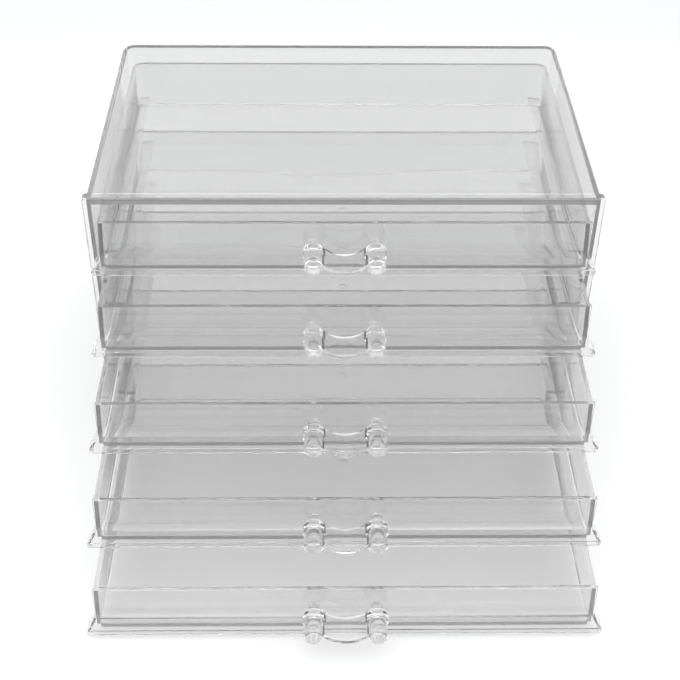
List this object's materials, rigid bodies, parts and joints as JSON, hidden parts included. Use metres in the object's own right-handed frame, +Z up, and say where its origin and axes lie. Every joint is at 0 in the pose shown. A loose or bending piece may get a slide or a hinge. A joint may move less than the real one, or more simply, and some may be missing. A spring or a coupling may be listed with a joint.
{
  "type": "drawer organizer",
  "caption": "Clear plastic desk organiser: an open-front case with a stack of shallow sliding trays, each with a two-peg pull, for craft stamps and small supplies.",
  "frame": {"origin": "centre of the case's underside, on the surface that it stands on", "axes": "+Z up, -Y towards the user, the way the drawers open, +X to the user's right"},
  "size_m": [0.2434, 0.2992, 0.1569],
  "materials": {
    "case": "clear injection-moulded polystyrene, glossy",
    "tray": "clear injection-moulded polystyrene, glossy",
    "pull": "clear injection-moulded polystyrene, glossy"
  },
  "bodies": {
    "case": {"case": "case"},
    "drawer_1": {"tray_1": "tray", "pull_1": "pull"},
    "drawer_2": {"tray_2": "tray", "pull_2": "pull"},
    "drawer_3": {"tray_3": "tray", "pull_3": "pull"},
    "drawer_4": {"tray_4": "tray", "pull_4": "pull"},
    "drawer_5": {"tray_5": "tray", "pull_5": "pull"}
  },
  "joints": [
    {"name": "drawer_1_slide", "type": "slide", "parent": "case", "child": "drawer_1", "axis": [0, -1, 0], "range_m": [-0.0081, 0.1204]},
    {"name": "drawer_2_slide", "type": "slide", "parent": "case", "child": "drawer_2", "axis": [0, -1, 0], "range_m": [-0.0318, 0.0967]},
    {"name": "drawer_3_slide", "type": "slide", "parent": "case", "child": "drawer_3", "axis": [0, -1, 0], "range_m": [-0.0653, 0.0632]},
    {"name": "drawer_4_slide", "type": "slide", "parent": "case", "child": "drawer_4", "axis": [0, -1, 0], "range_m": [-0.0963, 0.0322]},
    {"name": "drawer_5_slide", "type": "slide", "parent": "case", "child": "drawer_5", "axis": [0, -1, 0], "range_m": [-0.1228, 0.0057]}
  ]
}
